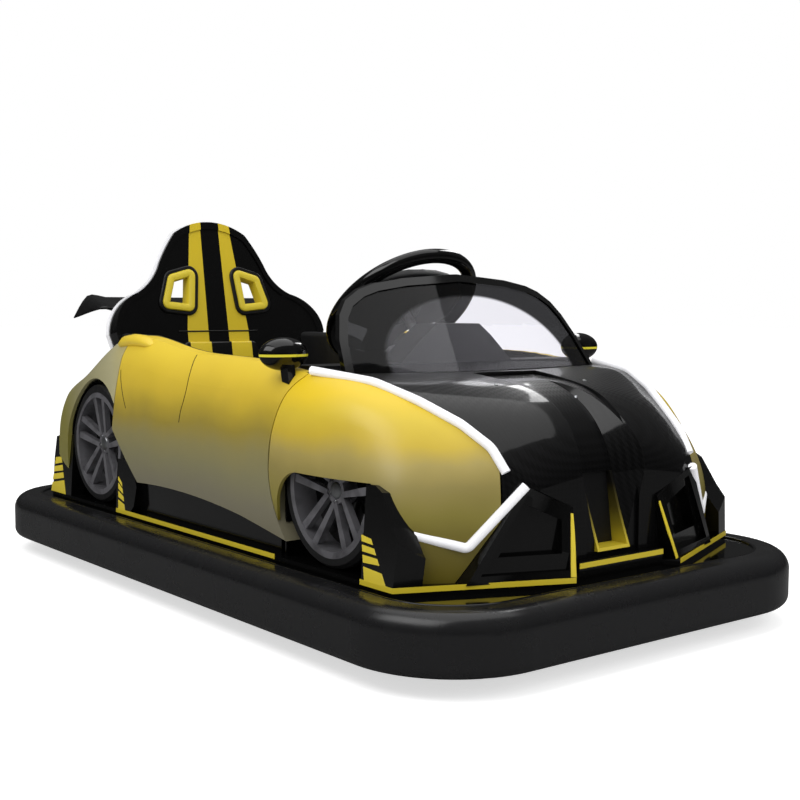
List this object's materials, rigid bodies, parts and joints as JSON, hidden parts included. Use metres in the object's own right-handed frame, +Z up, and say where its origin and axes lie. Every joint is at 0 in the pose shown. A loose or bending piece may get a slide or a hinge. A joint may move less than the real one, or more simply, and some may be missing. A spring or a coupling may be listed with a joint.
{
  "type": "battery bumper car",
  "caption": "Single-seat battery bumper car: moulded sports-car body on a deck inside a wrap-round bumper ring, steered drive wheel under the hood, fixed rear wheels, bucket seat.",
  "frame": {"origin": "on the floor, below the centre of the bumper ring", "axes": "+X towards the front of the car, +Y to its left, +Z up"},
  "size_m": [1.95, 1.12, 0.9234],
  "materials": {
    "alloy_grey": "cast, painted",
    "body_yellow": "gloss gel coat",
    "bumper_black": "gloss moulded rubber-plastic",
    "carbon_black": "woven carbon look under clear coat",
    "deck_black": "gloss",
    "frame_black": "satin paint",
    "gloss_black": "polished",
    "light_white": "frosted",
    "matte_black": "fine grain",
    "mirror_silver": "silvered",
    "red_lens": "clear lens",
    "seat_leather": "stitched vinyl",
    "steel_grey": "brushed",
    "tinted_glass": "smoke tint",
    "trim_yellow": "gloss paint",
    "tyre_black": "matte rubber"
  },
  "bodies": {
    "root": {"base_skirt": "gloss_black", "battery_pack": "matte_black", "bulkhead": "matte_black", "bumper_ring": "bumper_black", "chassis_rails": "frame_black", "cross_members": "frame_black", "dashboard": "matte_black", "deck": "deck_black", "deck_front": "deck_black", "drive_bridge": "frame_black", "dummy_rims": "alloy_grey", "dummy_tyres": "tyre_black", "fins_left": "gloss_black", "fins_right": "gloss_black", "foot_pedal": "steel_grey", "front_fender_left": "body_yellow", "front_fender_right": "body_yellow", "front_pod_left": "gloss_black", "front_pod_right": "gloss_black", "grille": "matte_black", "grille_surround": "trim_yellow", "hood": "carbon_black", "light_tubes_left": "light_white", "light_tubes_right": "light_white", "mirror_glasses": "mirror_silver", "mirror_left": "gloss_black", "mirror_right": "gloss_black", "rear_brackets": "frame_black", "rear_quarter_left": "body_yellow", "rear_quarter_right": "body_yellow", "rear_wing": "gloss_black", "screen_frame": "gloss_black", "seat_back": "gloss_black", "seat_bezels": "trim_yellow", "seat_box": "matte_black", "seat_cushion": "seat_leather", "seat_light": "light_white", "side_panel_left": "body_yellow", "side_panel_right": "body_yellow", "tail_lamps": "red_lens", "tail_panel": "gloss_black", "windscreen": "tinted_glass"},
    "drive_unit": {"drive_fork": "steel_grey"},
    "drive_wheel": {"drive_hub": "alloy_grey", "drive_tyre": "tyre_black"},
    "rear_wheel_right": {"rear_hub_right": "alloy_grey", "rear_tyre_right": "tyre_black"},
    "rear_wheel_left": {"rear_hub_left": "alloy_grey", "rear_tyre_left": "tyre_black"},
    "steering": {"steering_wheel": "gloss_black", "steering_shaft": "steel_grey"}
  },
  "joints": [
    {"name": "fork_swivel", "type": "hinge", "parent": "root", "child": "drive_unit", "pos_m": [0.56, 0, 0.265], "axis": [0, 0, 1], "range_deg": [-180, 180]},
    {"name": "drive_spin", "type": "hinge", "parent": "drive_unit", "child": "drive_wheel", "pos_m": [0.56, 0, 0.1], "axis": [0, 1, 0], "continuous": true},
    {"name": "steering_turn", "type": "hinge", "parent": "root", "child": "steering", "pos_m": [0.184, 0, 0.666], "axis": [-0.6743, 0, 0.7385], "range_deg": [-180, 180]},
    {"name": "rear_right_spin", "type": "hinge", "parent": "root", "child": "rear_wheel_right", "pos_m": [-0.48, -0.33, 0.05], "axis": [0, 1, 0], "continuous": true},
    {"name": "rear_left_spin", "type": "hinge", "parent": "root", "child": "rear_wheel_left", "pos_m": [-0.48, 0.33, 0.05], "axis": [0, 1, 0], "continuous": true}
  ],
  "couplings": [
    {"joint": "steering_turn", "follows": "fork_swivel", "ratio": 1}
  ]
}
